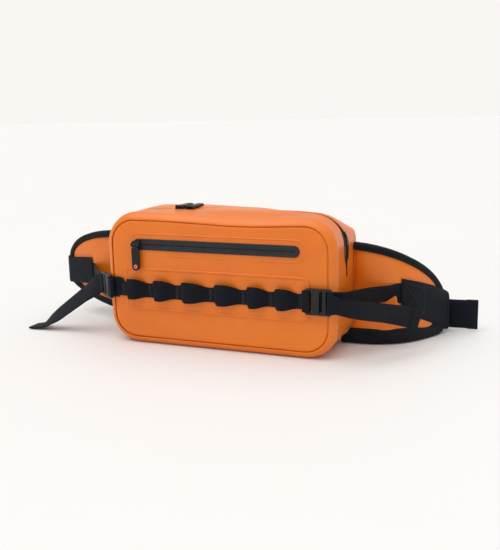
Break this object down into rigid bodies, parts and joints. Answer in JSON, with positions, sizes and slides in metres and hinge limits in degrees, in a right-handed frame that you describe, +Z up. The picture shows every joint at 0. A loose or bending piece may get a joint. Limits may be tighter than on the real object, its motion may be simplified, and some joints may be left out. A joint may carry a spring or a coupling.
{
  "type": "hip bag",
  "caption": "Welded waterproof hip bag with padded wings, webbing belt, daisy chain, compression straps, zipped front pocket and divided padded inside.",
  "frame": {"origin": "middle of the bag's flat underside, on the surface it stands on", "axes": "+X to the right seen from the front, +Y back towards the wearer, +Z up"},
  "size_m": [0.5889, 0.2279, 0.1722],
  "materials": {
    "tpu_orange": "satin coated",
    "zip_tape": "satin",
    "zip_slider": "satin",
    "pull_rubber": "matte",
    "eyelet_metal": "satin",
    "webbing": "woven",
    "belt_webbing": "woven",
    "buckle_plastic": "moulded",
    "foam": "closed cell foam",
    "spacer_mesh": "knitted mesh",
    "edge_binding": "woven tape",
    "liner_grey": "brushed"
  },
  "bodies": {
    "bag": {"back_panel": "tpu_orange", "rear_gusset": "tpu_orange", "front_panel_lower": "tpu_orange", "front_gusset_lower": "tpu_orange", "main_zip_tape_rear": "zip_tape", "zip_garage_left": "zip_tape", "zip_garage_right": "zip_tape", "pocket_liner": "liner_grey", "reinforcement_patch": "tpu_orange", "daisy_chain": "webbing", "anchor_loop_left": "webbing", "anchor_loop_right": "webbing", "compression_strap_left": "webbing", "compression_strap_right": "webbing", "wing_anchor_left": "tpu_orange", "wing_anchor_right": "tpu_orange", "base_pad": "liner_grey", "back_pad_mesh": "spacer_mesh", "back_pad_foam": "foam"},
    "flap": {"front_panel_upper": "tpu_orange", "front_gusset_upper": "tpu_orange", "main_zip_tape_front": "zip_tape", "pocket_zip_tape_upper": "zip_tape", "pocket_zip_tape_lower": "zip_tape"},
    "pocket_slider": {"pocket_zip_slider": "zip_slider"},
    "pocket_pull": {"pocket_zip_pull": "pull_rubber", "pocket_pull_eyelet": "eyelet_metal"},
    "main_slider_left": {"main_zip_slider_left": "zip_slider"},
    "main_pull_left": {"main_zip_pull_left": "pull_rubber"},
    "main_slider_right": {"main_zip_slider_right": "zip_slider"},
    "main_pull_right": {"main_zip_pull_right": "pull_rubber"},
    "divider_left": {"divider_left": "liner_grey"},
    "divider_right": {"divider_right": "liner_grey"},
    "lock_left": {"ladder_lock_left": "buckle_plastic", "strap_tail_left": "webbing"},
    "lock_right": {"ladder_lock_right": "buckle_plastic", "strap_tail_right": "webbing"},
    "wing_left": {"wing_face_left": "tpu_orange", "wing_foam_left": "foam", "wing_mesh_left": "spacer_mesh", "wing_binding_left": "edge_binding", "belt_patch_left": "belt_webbing", "belt_turn_left": "belt_webbing", "belt_webbing_left": "belt_webbing", "buckle_socket": "buckle_plastic"},
    "wing_right": {"wing_face_right": "tpu_orange", "wing_foam_right": "foam", "wing_mesh_right": "spacer_mesh", "wing_binding_right": "edge_binding", "belt_patch_right": "belt_webbing", "belt_turn_right": "belt_webbing", "belt_webbing_right": "belt_webbing", "belt_tail_right": "belt_webbing", "belt_hem_right": "belt_webbing", "buckle_plug": "buckle_plastic"},
    "buckle_arm_upper": {"buckle_arm_upper": "buckle_plastic"},
    "buckle_arm_lower": {"buckle_arm_lower": "buckle_plastic"}
  },
  "joints": [
    {"name": "mouth_open", "type": "hinge", "parent": "bag", "child": "flap", "pos_m": [0, -0.056, 0.1], "axis": [1, 0, 0], "range_deg": [0, 25]},
    {"name": "pocket_zip_slide", "type": "slide", "parent": "flap", "child": "pocket_slider", "axis": [1, 0, 0], "range_m": [0, 0.2]},
    {"name": "pocket_pull_swing", "type": "hinge", "parent": "pocket_slider", "child": "pocket_pull", "pos_m": [-0.105, -0.0613, 0.128], "axis": [-1, 0, 0], "range_deg": [0, 150]},
    {"name": "main_zip_slide_left", "type": "slide", "parent": "flap", "child": "main_slider_left", "axis": [-1, 0, 0], "range_m": [0, 0.036]},
    {"name": "main_pull_swing_left", "type": "hinge", "parent": "main_slider_left", "child": "main_pull_left", "pos_m": [-0.068, -0.008, 0.1702], "axis": [1, 0, 0], "range_deg": [0, 150]},
    {"name": "main_zip_slide_right", "type": "slide", "parent": "flap", "child": "main_slider_right", "axis": [1, 0, 0], "range_m": [0, 0.155]},
    {"name": "main_pull_swing_right", "type": "hinge", "parent": "main_slider_right", "child": "main_pull_right", "pos_m": [-0.053, -0.008, 0.1702], "axis": [1, 0, 0], "range_deg": [0, 150]},
    {"name": "divider_left_shift", "type": "slide", "parent": "bag", "child": "divider_left", "axis": [1, 0, 0], "range_m": [-0.02, 0.02]},
    {"name": "divider_right_shift", "type": "slide", "parent": "bag", "child": "divider_right", "axis": [1, 0, 0], "range_m": [-0.02, 0.02]},
    {"name": "lock_tilt_left", "type": "hinge", "parent": "bag", "child": "lock_left", "pos_m": [-0.14457, -0.05913, 0.072], "axis": [0, 0, 1], "range_deg": [0, 25], "deforming": ["compression_strap_left"]},
    {"name": "lock_tilt_right", "type": "hinge", "parent": "bag", "child": "lock_right", "pos_m": [0.1185, -0.0621, 0.072], "axis": [0, 0, -1], "range_deg": [0, 25], "deforming": ["compression_strap_right"]},
    {"name": "wing_fold_left", "type": "hinge", "parent": "bag", "child": "wing_left", "pos_m": [-0.153, 0.036, 0.07], "axis": [0, 0, -1], "range_deg": [0, 30], "deforming": ["compression_strap_left"]},
    {"name": "wing_fold_right", "type": "hinge", "parent": "bag", "child": "wing_right", "pos_m": [0.153, 0.036, 0.065], "axis": [0, 0, 1], "range_deg": [0, 30], "deforming": ["compression_strap_right"]},
    {"name": "buckle_arm_squeeze_upper", "type": "hinge", "parent": "wing_right", "child": "buckle_arm_upper", "pos_m": [0.1655, 0.154, 0.0365], "axis": [0, -1, 0], "range_deg": [0, 5], "stiffness_Nm_per_rad": 0.05, "springref_deg": -1.15},
    {"name": "buckle_arm_squeeze_lower", "type": "hinge", "parent": "wing_right", "child": "buckle_arm_lower", "pos_m": [0.1655, 0.154, 0.0105], "axis": [0, 1, 0], "range_deg": [0, 5], "stiffness_Nm_per_rad": 0.05, "springref_deg": -1.15}
  ],
  "couplings": [
    {"joint": "buckle_arm_squeeze_lower", "follows": "buckle_arm_squeeze_upper", "ratio": 1}
  ]
}
